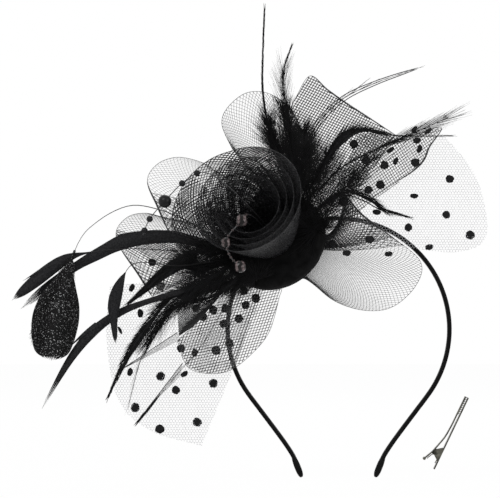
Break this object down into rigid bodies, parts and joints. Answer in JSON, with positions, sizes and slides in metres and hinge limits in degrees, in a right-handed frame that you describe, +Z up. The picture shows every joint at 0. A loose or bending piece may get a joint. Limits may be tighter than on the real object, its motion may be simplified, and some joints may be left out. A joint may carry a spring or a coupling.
{
  "type": "fascinator headpiece",
  "caption": "Black fascinator: felt button on a satin headband with crin loops, a wound crin rose, dotted veils, feathers and beads, and a loose sprung hair clip.",
  "frame": {"origin": "top of the headband's underside, where the crown of the head meets the middle of the band", "axes": "+Z up as worn, +X to the right in the front view, -Y toward the viewer of the front view"},
  "size_m": [0.2789, 0.0989, 0.2754],
  "materials": {
    "satin": "satin",
    "band_steel": "spring temper",
    "felt": "matt felt",
    "crin": "open net of nylon threads",
    "tulle": "open net with flocked dots",
    "feather": "dyed feather",
    "wire": "dark coated wire",
    "pearl": "polished",
    "crystal": "faceted, dark",
    "nickel": "bright nickel plate"
  },
  "bodies": {
    "headpiece": {"band_satin_sleeve": "satin", "left_band_tip": "satin", "right_band_tip": "satin", "band_core": "band_steel", "base_felt": "felt", "base_lining": "felt", "band_keeper": "felt", "crin_lobe_upper_right": "crin", "crin_lobe_top": "crin", "crin_lobe_upper_left": "crin", "crin_lobe_left": "crin", "crin_lobe_bottom": "crin", "crin_lobe_right": "crin", "crin_lobe_fold": "crin", "crin_rose": "crin", "veil_right": "tulle", "veil_lower_left": "tulle", "plume_tall": "feather", "plume_short": "feather", "plume_upper_right": "feather", "plume_curved": "feather", "plume_brush": "feather", "plume_lower_right": "feather", "biot_upper": "feather", "biot_lower": "feather", "leaf_large": "feather", "leaf_long": "feather", "leaf_small": "feather", "hackle_short": "feather", "hackle_left": "feather", "hackle_middle": "feather", "hackle_lower": "feather", "marabou_left": "feather", "marabou_right": "feather", "marabou_top": "feather", "pearl_wire": "wire", "crystal_wire": "wire", "pearl_a": "pearl", "pearl_b": "pearl", "pearl_c": "pearl", "pearl_d": "pearl", "pearl_e": "pearl", "crystal_a": "crystal", "crystal_b": "crystal", "crystal_c": "crystal", "clip_lower_jaw": "nickel", "clip_hinge_pin": "nickel", "clip_spring": "nickel"},
    "clip_lever": {"clip_upper_lever": "nickel"}
  },
  "joints": [
    {"name": "clip_lever_hinge", "type": "hinge", "parent": "headpiece", "child": "clip_lever", "pos_m": [0.0573, 0, -0.1364], "axis": [0, -1, 0], "range_deg": [0, 20], "stiffness_Nm_per_rad": 0.015, "springref_deg": -17.19, "deforming": ["clip_spring"]}
  ]
}
